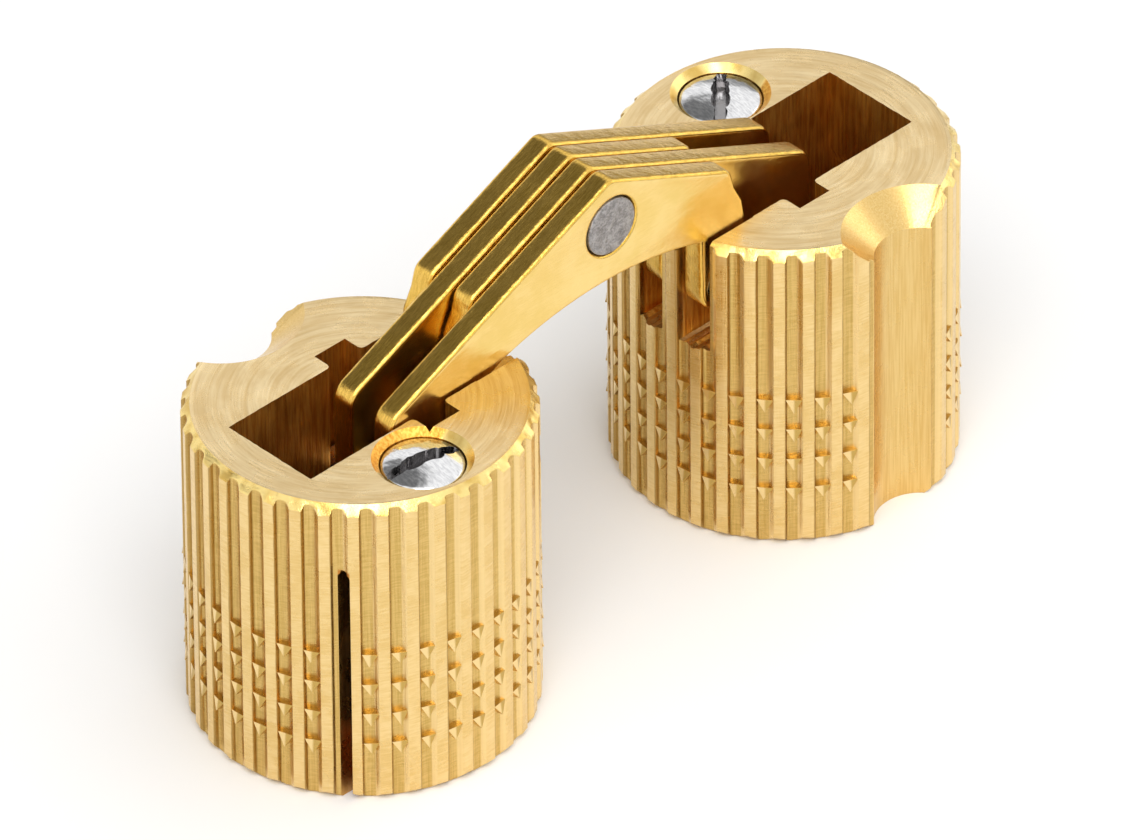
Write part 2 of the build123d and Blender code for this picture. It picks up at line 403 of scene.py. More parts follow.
def notch_outline():
    """Both slide notches in one cross bar with soft inner corners, as seen from above."""
    half, deep = POCKET_W / 2, TRACK_SPAN / 2
    near, far = TRACK_X + TRACK_W / 2, TRACK_X - TRACK_W / 2
    upper = [(near + NOTCH_SOFT, half), (near + NOTCH_CUT, half + NOTCH_CUT), (near, half + NOTCH_SOFT),
             (near, deep), (far, deep), (far, half + NOTCH_SOFT), (far - NOTCH_CUT, half + NOTCH_CUT),
             (far - NOTCH_SOFT, half)]
    return upper + [(x, -y) for x, y in reversed(upper)]


def track_band(path):
    """Outline of a stretch of the slide track seen from the side: a band with round ends about the path."""
    half = TRACK_W / 2
    headings = []
    for i in range(len(path)):
        before, after = path[max(i - 1, 0)], path[min(i + 1, len(path) - 1)]
        headings.append(math.atan2(after[1] - before[1], after[0] - before[0]))

    def beside(i, turn):
        angle = headings[i] + turn
        return path[i][0] + half * math.cos(angle), path[i][1] + half * math.sin(angle)

    last = len(path) - 1
    left = [beside(i, math.pi / 2) for i in range(last + 1)]
    cap = [beside(last, math.pi / 2 - math.pi * k / 12) for k in range(1, 12)]
    right = [beside(i, -math.pi / 2) for i in range(last, -1, -1)]
    tail = [beside(0, -math.pi / 2 - math.pi * k / 12) for k in range(1, 12)]
    return left + cap + right + tail


def cut_track(body):
    """Slide track in both side walls: round bites where it turns sharply, then one smooth band.

    Each bite is a little shallower than the last, so that no two end faces lie in one plane."""
    for i, (x, z) in enumerate(SLIDE_PATH[:TRACK_BEND + 1]):
        reach = TRACK_SPAN / 2 - 0.002 * (i + 1)
        cut(body, prism("bite", circle(x, z, TRACK_W / 2, 48), "y", -reach, reach))
    cut(body, prism("track", track_band(SLIDE_PATH[TRACK_BEND:]), "y", -TRACK_SPAN / 2, TRACK_SPAN / 2))


def cut_relief(body):
    """Round hollow in the pocket's far wall."""
    centre = POCKET_FAR - RELIEF_DEPTH + RELIEF_R
    reach = math.acos((centre - POCKET_FAR - 0.001) / RELIEF_R)
    arc = [(centre - RELIEF_R * math.cos(a), RELIEF_Z + RELIEF_R * math.sin(a))
           for a in (reach * (i / 8 - 1) for i in range(17))]
    arc += [(POCKET_FAR + OVER, arc[-1][1]), (POCKET_FAR + OVER, arc[0][1])]
    cut(body, prism("far_relief", arc, "y", -POCKET_W / 2, POCKET_W / 2))


def cut_pocket(body, rng):
    """Pocket, slide notches, curved tracks and the hollow in the far wall."""
    pocket = rectangle(POCKET_FAR, POCKET_NEAR, -POCKET_W / 2, POCKET_W / 2)
    cut(body, prism("pocket", ragged(pocket, rng, step=0.35, amount=0.035), "z", UNDERSIDE, OVER))
    cut(body, prism("notch", notch_outline(), "z", OPEN_SLIDE[1], OVER))
    cut_track(body)
    cut_relief(body)


def cut_mouth(body, rng):
    """Shallow mouth and the two deep slots for the pinned plates, with ragged floors."""
    mouth = rectangle(POCKET_NEAR - 2 * LAP, OUTSIDE, -MOUTH_W / 2, MOUTH_W / 2)
    cut(body, prism("mouth", mouth, "z", -MOUTH_DEPTH, OVER))
    for lane in PIVOT_LANES:
        low = lane * PLATE_PITCH - PIVOT_SLOT_W / 2
        high = low + PIVOT_SLOT_W
        pace = PIVOT_SLOT_W / SLOT_FLOOR_STEPS
        floor = [(high - pace * i, -PIVOT_SLOT_DEPTH - rng.uniform(0.0, SLOT_FLOOR_RAG))
                 for i in range(SLOT_FLOOR_STEPS + 1)]
        outline = [(low, OVER), (high, OVER)] + floor
        cut(body, prism("pivot_slot", outline, "x", POCKET_NEAR - 3 * LAP, OUTSIDE))


def cut_slit(body):
    """Expansion slit: deep through the wall, and shallow down to the bottom."""
    low, high = SLIT_Y - SLIT_W / 2, SLIT_Y + SLIT_W / 2
    head = [(low + across, SLIT_TOP + rise) for across, rise in SLIT_HEAD]
    cut(body, prism("slit", head + [(high, SLIT_FLOOR), (low, SLIT_FLOOR)], "x", -OUTSIDE, SLIT_DEEP_X))
    low_part = rectangle(-OUTSIDE, SLIT_LOW_X, low + 0.01, high - 0.01)
    cut(body, prism("slit_low", low_part, "z", UNDERSIDE, SLIT_TOP - 1))


def cone_cutter(name, x, y, low_r, high_r, depth):
    """Countersink that opens upwards and passes a little above and below its cone."""
    above, under = 4 * LAP, 2 * LAP
    slope = (high_r - low_r) / depth
    profile = [(high_r + slope * above, above), (high_r, 0.0), (low_r, -depth), (low_r, -depth - under)]
    piece = lathe(name, profile, 72)
    place(piece, Matrix.Translation((x, y, 0)))
    return piece


def make_barrel(side, matrix):
    """Barrel for one side with all its cuts, placed in the part frame."""
    rng = random.Random(f"{side} cuts")
    body = barrel_blank(f"{side}_barrel_body")
    cut_pocket(body, rng)
    cut_mouth(body, rng)
    cut(body, prism("groove", circle(0, GROOVE_Y, GROOVE_R, 72), "z", UNDERSIDE, OVER))
    cut(body, cone_cutter("sink", 0, GROOVE_Y, GROOVE_R, SINK_R, SINK_DEPTH))
    cut(body, prism("screw_hole", circle(SCREW_X, SCREW_Y, SCREW_HOLE_R, 72), "z", -SCREW_HOLE_DEPTH, OVER))
    cut(body, cone_cutter("screw_chamfer", SCREW_X, SCREW_Y, SCREW_HOLE_R, SCREW_HOLE_R + SCREW_CHAMFER,
                          SCREW_CHAMFER))
    cut_slit(body)
    pin_hole_end = (SIDE_PIN_L + LAP) / 2
    cut(body, prism("pin_hole", circle(PIVOT_X, PIVOT_Z, PIVOT_PIN_R, 48), "y", -OUTSIDE, pin_hole_end))
    sharpen(body)
    place(body, matrix)
    dress(body, "barrel", f"{side}_barrel", f"{side}_barrel")


def clear_of_cuts(angle):
    """True where a barb at this angle sits on solid wall."""
    x, y = BARREL_R * math.cos(angle), BARREL_R * math.sin(angle)
    if math.hypot(x, y - GROOVE_Y) < GROOVE_R + BARB_FROM_GROOVE:
        return False
    return not (x < 0 and abs(y - SLIT_Y) < SLIT_W / 2 + BARB_FROM_SLIT)


def barb(rng):
    """Points (across, outwards from the crest, up from the row) of one small down-pointing tooth."""
    wide = BARB_HALF_W + rng.uniform(-0.04, 0.04)
    drop = BARB_DROP + rng.uniform(-0.12, 0.12)
    lift = BARB_LIFT + rng.uniform(-0.04, 0.04)
    tilt = rng.uniform(-0.05, 0.05)
    tip = rng.uniform(-0.08, 0.08)
    rise = rng.uniform(0.0, 0.06)
    rim = [(-wide, -0.05, tilt), (0.05, -0.04 + rise, 0.05), (wide, -0.05, -tilt), (tip, lift, -drop)]
    root = [(-wide, BARB_ROOT, tilt), (0.05, BARB_ROOT, 0.05), (wide, BARB_ROOT, -tilt),
            (tip, BARB_ROOT, -drop - 0.2)]
    return rim + root


BARB_FACES = ((0, 3, 1), (1, 3, 2), (0, 1, 5, 4), (1, 2, 6, 5), (2, 3, 7, 6), (3, 0, 4, 7), (4, 5, 6, 7))


def make_barbs(side, matrix):
    """Teeth in the flutes, in four rows, that grip the hole."""
    rng = random.Random(side)
    verts, faces = [], []
    for row in BARB_ROWS:
        for k in range(FLUTE_COUNT):
            angle = math.radians(FLUTE_PHASE) + math.tau * k / FLUTE_COUNT
            if not clear_of_cuts(angle):
                continue
            first = len(verts)
            for across, out, up in barb(rng):
                turn = angle + across / BARREL_R
                radius = BARREL_R + out
                verts.append((radius * math.cos(turn), radius * math.sin(turn), row + up))
            faces += [tuple(first + i for i in face) for face in BARB_FACES]
    piece = solid(f"{side}_barbs", verts, faces)
    bevel = piece.modifiers.new("edge", "BEVEL")
    bevel.width = 0.025 * MM
    bevel.segments = 2
    place(piece, matrix)
    dress(piece, "barb", f"{side}_barrel", None)


# ---- links ------------------------------------------------------------------------------------------
def fillet(points, radii, steps=6):
    """Round some corners of a closed outline. radii: index of the corner -> radius."""
    out = []
    count = len(points)
    for i, corner in enumerate(points):
        radius = radii.get(i)
        if not radius:
            out.append(corner)
            continue
        here = Vector(corner)
        back = (Vector(points[i - 1]) - here).normalized()
        ahead = (Vector(points[(i + 1) % count]) - here).normalized()
        half = back.angle(ahead) / 2
        centre = here + (back + ahead).normalized() * (radius / math.sin(half))
        start = here + back * (radius / math.tan(half)) - centre
        end = here + ahead * (radius / math.tan(half)) - centre
        sweep = start.angle_signed(end)
        first = math.atan2(start.y, start.x)
        for step in range(steps + 1):
            angle = first - sweep * step / steps
            out.append((centre.x + radius * math.cos(angle), centre.y + radius * math.sin(angle)))
    return out


def arc_through(a, b, c, steps):
    """Points on the arc from a through b to c, both ends included."""
    ax, ay = a
    bx, by = b
    cx, cy = c
    d = 2 * (ax * (by - cy) + bx * (cy - ay) + cx * (ay - by))
    ux = ((ax**2 + ay**2) * (by - cy) + (bx**2 + by**2) * (cy - ay) + (cx**2 + cy**2) * (ay - by)) / d
    uy = ((ax**2 + ay**2) * (cx - bx) + (bx**2 + by**2) * (ax - cx) + (cx**2 + cy**2) * (bx - ax)) / d
    radius = math.hypot(ax - ux, ay - uy)
    first = math.atan2(ay - uy, ax - ux)
    last = math.atan2(cy - uy, cx - ux)
    middle = math.atan2(by - uy, bx - ux)
    if not (min(first, last) <= middle <= max(first, last)):
        last += math.tau if last < first else -math.tau
    return [(ux + radius * math.cos(first + (last - first) * i / steps),
             uy + radius * math.sin(first + (last - first) * i / steps)) for i in range(steps + 1)]


def link_outline():
    """Link outline about the rivet axis, short arm towards +X, clockwise from the apex."""
    slope = math.radians(LINK_FALL)
    apex = LINK_BACK / math.cos(slope)
    fall = math.tan(slope)
    pivot_out, pivot_in = (PIVOT_DX + PIVOT_END_R, PIVOT_DZ), (PIVOT_DX - PIVOT_END_R, PIVOT_DZ)
    slide_out, slide_in = (SLIDE_DX - SLIDE_END_R, SLIDE_DZ), (SLIDE_DX + SLIDE_END_R, SLIDE_DZ)
    points = [(0, apex), (SHORT_END_X, apex - fall * SHORT_END_X), *SHORT_NOSE, (pivot_out[0], SHORT_NOSE_Z)]
    points += arc_through(pivot_out, (PIVOT_DX, PIVOT_DZ - PIVOT_END_R), pivot_in, 14)
    points += arc_through((pivot_in[0], ARCH_SHORT_Z), (0, ARCH_CROWN_Z), ARCH_LONG, 16)
    points += LONG_BELLY
    belly = len(points) - 1
    points += arc_through(slide_in, (SLIDE_DX, SLIDE_DZ - SLIDE_END_R), slide_out, 16)
    points += [(LONG_END_X, LONG_END_Z), (LONG_END_X, apex + fall * LONG_END_X)]
    corners = {0: APEX_CORNER_R, 1: SHORT_CORNER_R, belly: BELLY_CORNER_R, len(points) - 1: LONG_CORNER_R}
    return fillet(points, corners)


def closed_spline(curve, points):
    """Add one closed straight-sided spline to a curve."""
    spline = curve.splines.new("POLY")
    spline.points.add(len(points) - 1)
    for target, (x, y) in zip(spline.points, points):
        target.co = (x * MM, y * MM, 0, 1)
    spline.use_cyclic_u = True


def plate_mesh(node, short_side, holes):
    """Plate with rounded rims from its outline and holes, flat in XY."""
    curve = bpy.data.curves.new(f"{node}_outline", "CURVE")
    curve.dimensions = "2D"
    curve.fill_mode = "BOTH"
    curve.extrude = (PLATE_T / 2 - PLATE_RIM) * MM
    curve.bevel_depth = PLATE_RIM * MM
    curve.bevel_resolution = 3
    curve.offset = -PLATE_RIM * MM
    closed_spline(curve, [(x * short_side, z) for x, z in link_outline()])
    centres = ((0, 0), (PIVOT_DX, PIVOT_DZ), (SLIDE_DX, SLIDE_DZ))
    for (x, z), radius in zip(centres, holes):
        closed_spline(curve, circle(x * short_side, z, radius, 40))
    shape = bpy.data.objects.new(f"{node}_curve", curve)
    bpy.context.scene.collection.objects.link(shape)
    graph = bpy.context.evaluated_depsgraph_get()
    mesh = bpy.data.meshes.new_from_object(shape.evaluated_get(graph))
    bpy.data.objects.remove(shape, do_unlink=True)
    work = bmesh.new()
    work.from_mesh(mesh)
    bmesh.ops.remove_doubles(work, verts=work.verts, dist=1e-7)
    work.to_mesh(mesh)
    work.free()
    return mesh


def make_plate(node, body, lane, short_side):
    """One stamped link plate in its lane."""
    piece = add_object(f"{node}_plate", plate_mesh(node, short_side, HOLES))
    sharpen(piece, 40)
    upright = Matrix.Rotation(math.pi / 2, 4, "X")
    place(piece, Matrix.Translation((0, lane * PLATE_PITCH, BARREL_H + APEX_Z)) @ upright)
    dress(piece, "link", body, node)


# ---- pins, rivet and screws -------------------------------------------------------------------------
def make_pin(node, body, radius, length, edge, place_at, material):
    """A pin along Y with rounded rims."""
    half = length / 2
    rim = [(radius - edge + edge * math.sin(a), half - edge + edge * math.cos(a))
           for a in (math.pi / 2 * i / 4 for i in range(5))]
    profile = [(AXIS_R, half), (radius * 0.5, half)] + rim
    piece = lathe(f"{node}_body", profile + [(r, -z) for r, z in reversed(profile)], 64)
    sharpen(piece, 50)
    place(piece, place_at @ Matrix.Rotation(math.pi / 2, 4, "X"))
    dress(piece, material, body, node)


def screw_profile():
    """Half section of a screw as (radius, height) points: dome, rim, shank and spreading cone."""
    steps = SCREW_DOME_STEPS
    dome = [(SCREW_DOME_R * i / steps, SCREW_DOME * (1 - (i / (steps + 0.6)) ** 2.2))
            for i in range(1, steps + 1)]
    return [(AXIS_R, SCREW_DOME), *dome, *SCREW_SIDE, (AXIS_R, SCREW_SIDE[-1][1])]


def make_screw(side, matrix, slot_angle):
    """Domed slotted screw with a spreading cone below."""
    rng = random.Random(f"{side} screw")
    piece = lathe(f"{side}_screw_body", screw_profile())
    outline = [(x, -y) for x, y in SCREW_SLOT] + list(reversed(SCREW_SLOT))
    slot = prism("slot", ragged(outline, rng, step=0.3, amount=0.17), "z", SCREW_SLOT_FLOOR, OVER)
    place(slot, Matrix.Rotation(math.radians(slot_angle), 4, "Z"))
    cut(piece, slot)
    sharpen(piece, 40)
    round_edges(piece, 0.07, 3, 45)
    place(piece, matrix @ Matrix.Translation((SCREW_X, SCREW_Y, -SCREW_SINK)))
    dress(piece, "screw", f"{side}_screw", f"{side}_expansion_screw")


# ---- materials --------------------------------------------------------------------------------------
class Maker:
    """Short way to write a node material on object coordinates in millimetres."""

    def __init__(self, name):
        self.material = bpy.data.materials.new(name)
        self.material.use_nodes = True
        self.tree = self.material.node_tree
        self.shader = self.tree.nodes["Principled BSDF"]
        coords = self.tree.nodes.new("ShaderNodeTexCoord")
        scaled = self.tree.nodes.new("ShaderNodeVectorMath")
        scaled.operation = "SCALE"
        self.put(scaled, 0, coords.outputs["Object"])
        self.put(scaled, "Scale", 1 / MM)
        self.place = scaled.outputs[0]
        self.x, self.y, self.z = self.split(self.place)
        self.facing = self.split(coords.outputs["Normal"])

    def put(self, node, key, value):
        """Set or link one input."""
        socket = node.inputs[key]
        if isinstance(value, bpy.types.NodeSocket):
            self.tree.links.new(value, socket)
        elif socket.type == "RGBA" and len(value) == 3:
            socket.default_value = (*value, 1.0)
        else:
            socket.default_value = value

    def split(self, vector):
        made = self.tree.nodes.new("ShaderNodeSeparateXYZ")
        self.put(made, 0, vector)
        return made.outputs

    def vector(self, x, y, z):
        made = self.tree.nodes.new("ShaderNodeCombineXYZ")
        for key, value in enumerate((x, y, z)):
            self.put(made, key, value)
        return made.outputs[0]

    def math(self, operation, a, b=0.0, c=0.0):
        made = self.tree.nodes.new("ShaderNodeMath")
        made.operation = operation
        for key, value in enumerate((a, b, c)):
            self.put(made, key, value)
        return made.outputs[0]

    def times(self, a, b):
        return self.math("MULTIPLY", a, b)

    def minus(self, a, b):
        return self.math("SUBTRACT", a, b)

    def size(self, value):
        return self.math("ABSOLUTE", value)

    def length(self, a, b):
        return self.math("SQRT", self.add(self.times(a, a), self.times(b, b)))

    def add(self, *values):
        total = values[0]
        for value in values[1:]:
            total = self.math("ADD", total, value)
        return total

    def blend(self, *parts):
        """Sum of (value, share) parts."""
        return self.add(*(self.times(value, share) for value, share in parts))

    def stretched(self, x, y, z, detail=3.0, roughness=0.55, distortion=0.0):
        """Noise on three values that are already scaled."""
        return self.noise(self.vector(x, y, z), 1.0, detail, roughness, distortion)

    def noise(self, vector, scale, detail=3.0, roughness=0.55, distortion=0.0):
        made = self.tree.nodes.new("ShaderNodeTexNoise")
        settings = {"Vector": vector, "Scale": scale, "Detail": detail, "Roughness": roughness,
                    "Distortion": distortion}
        for key, value in settings.items():
            self.put(made, key, value)
        return made.outputs[0]

    def step(self, value, low, high, start=0.0, end=1.0):
        """Smooth change from start to end as a value goes from low to high."""
        made = self.tree.nodes.new("ShaderNodeMapRange")
        made.interpolation_type = "SMOOTHSTEP"
        settings = {"Value": value, "From Min": low, "From Max": high, "To Min": start, "To Max": end}
        for key, number in settings.items():
            self.put(made, key, number)
        return made.outputs[0]

    def fade(self, value, low, high):
        """1 below low, 0 above high."""
        return self.step(value, low, high, 1.0, 0.0)

    def mix(self, share, a, b):
        made = self.tree.nodes.new("ShaderNodeMix")
        made.data_type = "RGBA"
        self.put(made, 0, share)
        self.put(made, 6, a)
        self.put(made, 7, b)
        return made.outputs[2]

    def finish(self, colour, roughness, height, distance):
        """Wire a finished metal: colour, roughness and a height in units of distance (mm)."""
        bump = self.tree.nodes.new("ShaderNodeBump")
        self.put(bump, "Height", height)
        bump.inputs["Distance"].default_value = distance * MM
        self.put(self.shader, "Normal", bump.outputs[0])
        self.put(self.shader, "Base Color", colour)
        self.put(self.shader, "Roughness", roughness)
        self.shader.inputs["Metallic"].default_value = 1.0
        return self.material


class BarrelMaker(Maker):
    """Maker with the barrel's own coordinates and the textures that its body and teeth share."""

    def __init__(self, name):
        super().__init__(name)
        side = self.math("SIGN", self.x)
        self.local_x = self.minus(HALF_SPACING, self.size(self.x))
        self.local_y = self.times(self.times(side, self.y), -1.0)
        self.depth = self.minus(self.z, BARREL_H)
        self.radius = self.length(self.local_x, self.local_y)
        self.angle = self.math("ARCTAN2", self.local_y, self.times(self.local_x, -1.0))
        self.arc = self.flute_arc()
        self.grain = self.noise(self.place, 14.0, 2.0)
        self.patches = self.noise(self.place, 0.45)
        climb = self.add(self.times(self.z, 8.0), self.times(self.angle, 12.0))
        self.chatter = self.stretched(self.times(self.angle, 9.0), 0.0, climb)
        self.drag = self.along_axis(9.0)

    def flute_arc(self):
        """Arc length from the middle of the nearest flute."""
        turn = self.math("ARCTAN2", self.local_y, self.local_x)
        per_radian = FLUTE_COUNT / math.tau
        start = 50.5 - math.radians(FLUTE_PHASE) * per_radian
        share = self.math("FRACT", self.math("MULTIPLY_ADD", turn, per_radian, start))
        return self.times(self.minus(share, 0.5), math.tau * BARREL_R / FLUTE_COUNT)

    def along_axis(self, scale, detail=3.0, roughness=0.55):
        """Lines along the barrel's axis, as a drawing or broaching tool leaves them."""
        return self.stretched(self.times(self.local_x, scale), self.times(self.local_y, scale),
                              self.times(self.z, 0.25), detail, roughness)

    def flat_mask(self):
        """1 on the top and bottom faces."""
        return self.step(self.size(self.facing[2]), 0.9, 0.97)

    def inner_mask(self, not_flat):
        """1 on the pocket's walls."""
        inside = self.fade(self.radius, *WALL_START)
        return self.times(self.fade(self.size(self.y), *POCKET_SIDE), self.times(inside, not_flat))

    def slit_shade_mask(self, not_flat):
        """1 on the walls of the expansion slit, which are painted dark as painted shade."""
        from_slit = self.size(self.minus(self.local_y, SLIT_Y))
        near = self.times(self.fade(from_slit, *SLIT_SIDE), self.fade(self.local_x, *SLIT_INNER_END))
        return self.times(near, self.times(self.fade(self.depth, SLIT_TOP - 0.1, SLIT_TOP + 0.2), not_flat))

    def groove_mask(self):
        """1 on the fixing groove and its countersink."""
        past_axis = self.minus(self.size(self.local_y), GROOVE_Y)
        from_groove = self.length(self.local_x, past_axis)
        slope = (SINK_R - GROOVE_R) / SINK_DEPTH
        flare = self.math("MAXIMUM", self.times(self.add(self.depth, SINK_DEPTH), slope), 0.0)
        near = self.fade(self.minus(from_groove, flare), GROOVE_R + 0.06, GROOVE_R + 0.1)
        return self.times(near, self.step(self.local_y, 0.0, 1.0))

    def wall_colour(self):
        """Lands with chatter lines, darker flutes with a painted highlight on one side and painted shade in
        the corner of the other, and the chamfer.
        """
        land = self.step(self.radius, *LAND_START)
        worn = self.step(self.blend((self.chatter, 0.5), (self.patches, 0.5)), 0.35, 0.65)
        drawn = self.step(self.blend((self.drag, 0.5), (self.chatter, 0.5)), 0.35, 0.65)
        # Painted highlight along the gentle side of each flute, painted shade in the corner of its steep
        # side.
        flute_side_highlight = self.step(self.size(self.minus(self.arc, 0.42)), 0.1, 0.2, 0.8, 0.0)
        flute_corner_shade = self.size(self.add(self.arc, self.times(self.patches, 0.12), 0.47))
        valley_colour = self.mix(drawn, VALLEY_DARK, VALLEY_LIGHT)
        colour = self.mix(land, valley_colour, self.mix(worn, LAND_DARK, LAND_LIGHT))
        colour = self.mix(flute_side_highlight, colour, LAND_LIGHT)
        colour = self.mix(self.step(flute_corner_shade, 0.04, 0.12, 0.75, 0.0), colour, FLUTE_CORNER_SHADE)
        chamfer = self.times(self.step(self.depth, -1.0, -0.75), self.step(self.facing[2], 0.3, 0.6))
        bright = self.step(self.noise(self.place, 0.7, 2.0), 0.3, 0.6)
        return self.mix(chamfer, colour, self.mix(bright, CHAMFER_DARK, CHAMFER_LIGHT))


def barrel_material():
    """Machined brass: turned rings on flat faces, chatter lines on the wall, broach lines in the pocket."""
    net = BarrelMaker("machined_brass")
    flat = net.flat_mask()
    not_flat = net.minus(1.0, flat)
    wall = net.step(net.radius, *WALL_START)
    inner = net.inner_mask(not_flat)
    rings = net.stretched(net.times(net.radius, 3.6), net.times(net.angle, 1.3), 0.0, 5.0, 0.62, 0.35)
    sweep = net.stretched(net.times(net.radius, 0.8), net.times(net.angle, 2.6), 3.0, 3.0, 0.6, 0.6)
    broach = net.along_axis(4.0, 4.0, 0.65)
    at_rim = net.times(net.step(net.depth, -1.1, -0.3), net.step(net.radius, 11.0, 11.4))
    burr = net.times(at_rim, net.noise(net.place, 1.8, 2.0))

    groove_colour = net.mix(net.step(net.drag, 0.3, 0.7), GROOVE_DARK, GROOVE_LIGHT)
    pocket_colour = net.mix(net.step(broach, 0.36, 0.64), POCKET_DARK, POCKET_LIGHT)
    top_colour = net.mix(net.step(net.blend((rings, 0.6), (sweep, 0.4)), 0.34, 0.66), TAN_DARK, TAN_LIGHT)
    colour = net.mix(net.groove_mask(), net.wall_colour(), groove_colour)
    colour = net.mix(inner, colour, pocket_colour)
    colour = net.mix(flat, colour, top_colour)
    # painted shade on the walls of the narrow slit
    colour = net.mix(net.slit_shade_mask(not_flat), colour, SLIT_SHADE)

    worn = net.step(net.patches, 0.3, 0.7)
    roughness = net.add(net.blend((worn, 0.1), (net.grain, 0.08), (inner, 0.12)), 0.2)
    tooled = net.times(wall, net.times(net.add(net.chatter, net.drag), 0.5))
    height = net.add(net.times(flat, net.add(rings, net.times(sweep, 0.5))), tooled,
                     net.times(inner, net.times(broach, 2.4)), net.blend((net.grain, 0.12), (burr, 0.9)))
    return net.finish(colour, roughness, height, 0.035)


def barb_material():
    """The barrel's brass on the teeth, with a painted highlight on one side of each tooth and painted shade
    on the other side and on its up-facing ledge.
    """
    net = BarrelMaker("pushed_brass")
    # painted highlight on one side of each tooth, painted shade on the other
    colour = net.mix(net.step(net.arc, -0.08, 0.12), LAND_LIGHT, VALLEY_DARK)
    # painted shade on the up-facing ledges
    colour = net.mix(net.step(net.facing[2], 0.4, 0.7), colour, LEDGE_SHADE)
    roughness = net.add(net.blend((net.step(net.patches, 0.3, 0.7), 0.1), (net.grain, 0.08)), 0.2)
    height = net.blend((net.chatter, 0.5), (net.drag, 0.5), (net.grain, 0.12))
    return net.finish(colour, roughness, height, 0.035)


def link_material():
    """Stamped brass: smooth rolled faces with faint scratches, finer darker grain along the cut edges."""
    net = Maker("stamped_brass")
    face = net.step(net.size(net.facing[1]), 0.85, 0.97)
    patches = net.noise(net.place, 0.35, 3.0, 0.6)
    scratches = net.stretched(net.times(net.x, 0.9), net.times(net.y, 4.0), net.times(net.z, 9.0), 4.0, 0.65)
    shear = net.stretched(net.times(net.x, 1.2), net.times(net.y, 11.0), net.times(net.z, 1.2), 4.0, 0.65)
    grain = net.noise(net.place, 16.0, 2.0)
    waves = net.noise(net.place, 1.1, 2.0)
    rolled = net.step(net.blend((scratches, 0.4), (patches, 0.6)), 0.35, 0.65)
    sheared = net.step(net.blend((shear, 0.6), (grain, 0.4)), 0.38, 0.62)
    colour = net.mix(face, net.mix(sheared, EDGE_DARK, EDGE_LIGHT), net.mix(rolled, FACE_DARK, FACE_LIGHT))
    roughness = net.add(net.blend((net.step(patches, 0.3, 0.7), 0.08), (grain, 0.06)), 0.13)
    height = net.add(net.times(face, net.times(scratches, 0.35)),
                     net.times(net.minus(1.0, face), net.times(shear, 0.5)),
                     net.times(grain, 0.08), net.times(waves, net.step(face, 0.0, 1.0, 2.4, 0.4)))
    return net.finish(colour, roughness, height, 0.03)


def rivet_material():
    """Matt grey steel with a mottled, lightly pitted end."""
    net = Maker("matt_steel")
    blotch = net.noise(net.place, 1.6, 4.0, 0.7)
    speck = net.noise(net.place, 7.0, 3.0, 0.7)
    mottle = net.step(net.blend((blotch, 0.5), (speck, 0.5)), 0.38, 0.62)
    colour = net.mix(mottle, RIVET_DARK, RIVET_LIGHT)
    return net.finish(colour, net.step(speck, 0.3, 0.7, 0.42, 0.62), net.add(speck, blotch), 0.05)


def pin_material():
    """Drawn steel wire: fine lines along the pin."""
    net = Maker("drawn_steel")
    lines = net.stretched(net.times(net.x, 9.0), net.times(net.y, 0.5), net.times(net.z, 9.0))
    patches = net.noise(net.place, 1.0)
    colour = net.mix(net.step(net.blend((lines, 0.5), (patches, 0.5)), 0.35, 0.65), PIN_DARK, PIN_LIGHT)
    return net.finish(colour, net.step(patches, 0.3, 0.7, 0.22, 0.36), lines, 0.02)


def screw_material():
    """Bright plated steel with soft dents and fine scratches, painted dark down in the slot as painted shade.
    """
    net = Maker("plated_steel")
    dents = net.noise(net.place, 0.55, 2.0, 0.5, 0.3)
    scratches = net.stretched(net.times(net.x, 7.0), net.times(net.y, 2.0), net.times(net.z, 2.0), 4.0, 0.6)
    plated = net.mix(net.step(scratches, 0.35, 0.65), PLATED_DARK, PLATED_LIGHT)
    # painted shade down in the slot, below the screw's rim
    below_rim = net.minus(BARREL_H - SCREW_SINK, net.z)
    colour = net.mix(net.step(below_rim, 0.15, 0.7), plated, SLOT_SHADE)
    height = net.blend((dents, 3.0), (scratches, 0.15))
    return net.finish(colour, net.step(scratches, 0.3, 0.7, 0.08, 0.2), height, 0.035)


# Distances in millimetres over which one look gives way to the next
WALL_START = (11.2, 11.45)      # from the barrel's axis
LAND_START = (11.78, 11.9)
POCKET_SIDE = (6.2, 6.6)        # from the middle plane
SLIT_SIDE = (0.4, 0.46)         # from the slit's middle
SLIT_INNER_END = (-3.0, -2.5)

# Base colours, linear
TAN_DARK, TAN_LIGHT = (0.76, 0.54, 0.25), (0.94, 0.74, 0.42)
LAND_DARK, LAND_LIGHT = (0.76, 0.52, 0.19), (0.88, 0.65, 0.30)
VALLEY_DARK, VALLEY_LIGHT = (0.55, 0.36, 0.10), (0.72, 0.49, 0.17)
GROOVE_DARK, GROOVE_LIGHT = (0.70, 0.46, 0.15), (0.80, 0.57, 0.23)
CHAMFER_DARK, CHAMFER_LIGHT = (0.70, 0.46, 0.12), (0.93, 0.71, 0.27)
# painted shade in the corner of each flute's steep side
FLUTE_CORNER_SHADE = (0.34, 0.20, 0.05)
# painted shade for the teeth's up-facing ledges
LEDGE_SHADE = (0.52, 0.34, 0.11)
